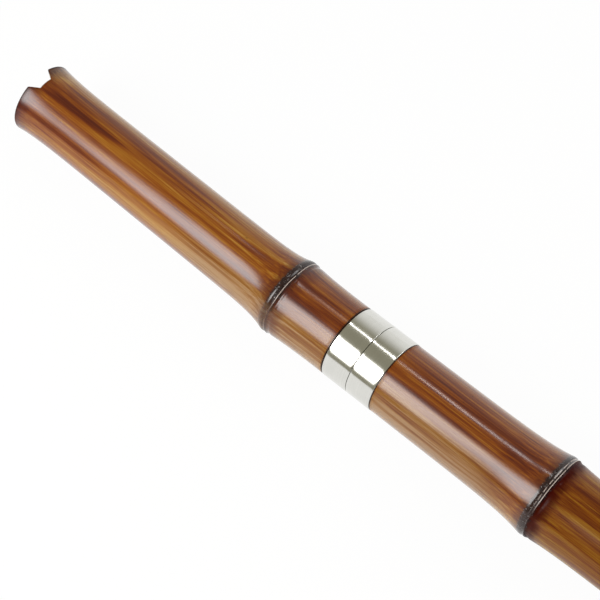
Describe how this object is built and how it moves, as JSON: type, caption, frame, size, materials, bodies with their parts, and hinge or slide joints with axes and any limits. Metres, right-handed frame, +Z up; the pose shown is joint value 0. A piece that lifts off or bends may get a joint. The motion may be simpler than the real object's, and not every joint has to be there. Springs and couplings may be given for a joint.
{
  "type": "end-blown bamboo flute",
  "caption": "Two-section end-blown flute of lacquered bamboo with a notched mouth rim, metal sleeve joint, finger holes and flared root end.",
  "frame": {"origin": "on the ground, under the middle of the flute, which lies on its back with its finger holes up", "axes": "+X along the flute from the mouth rim to the root end, +Z up, towards the finger holes and the blowing notch"},
  "size_m": [0.5818, 0.044, 0.0445],
  "materials": {
    "lacquered_bamboo": "reddish brown lacquer over bamboo, glossy, with dark scorched nodes",
    "nickel_silver": "satin turned nickel silver",
    "drawn_brass": "drawn brass tube, smooth"
  },
  "bodies": {
    "upper_section": {"upper_tube": "lacquered_bamboo", "upper_ferrule": "nickel_silver"},
    "tenon": {"tenon_sleeve": "drawn_brass"},
    "lower_section": {"lower_tube": "lacquered_bamboo", "lower_ferrule": "nickel_silver", "socket_sleeve": "drawn_brass"}
  },
  "joints": [
    {"name": "section_twist", "type": "hinge", "parent": "upper_section", "child": "tenon", "pos_m": [-0.12306, -0.00463, 0.01645], "axis": [1, 0, 0], "continuous": true},
    {"name": "section_pull", "type": "slide", "parent": "tenon", "child": "lower_section", "axis": [1, 0, 0], "range_m": [0, 0.025]}
  ]
}
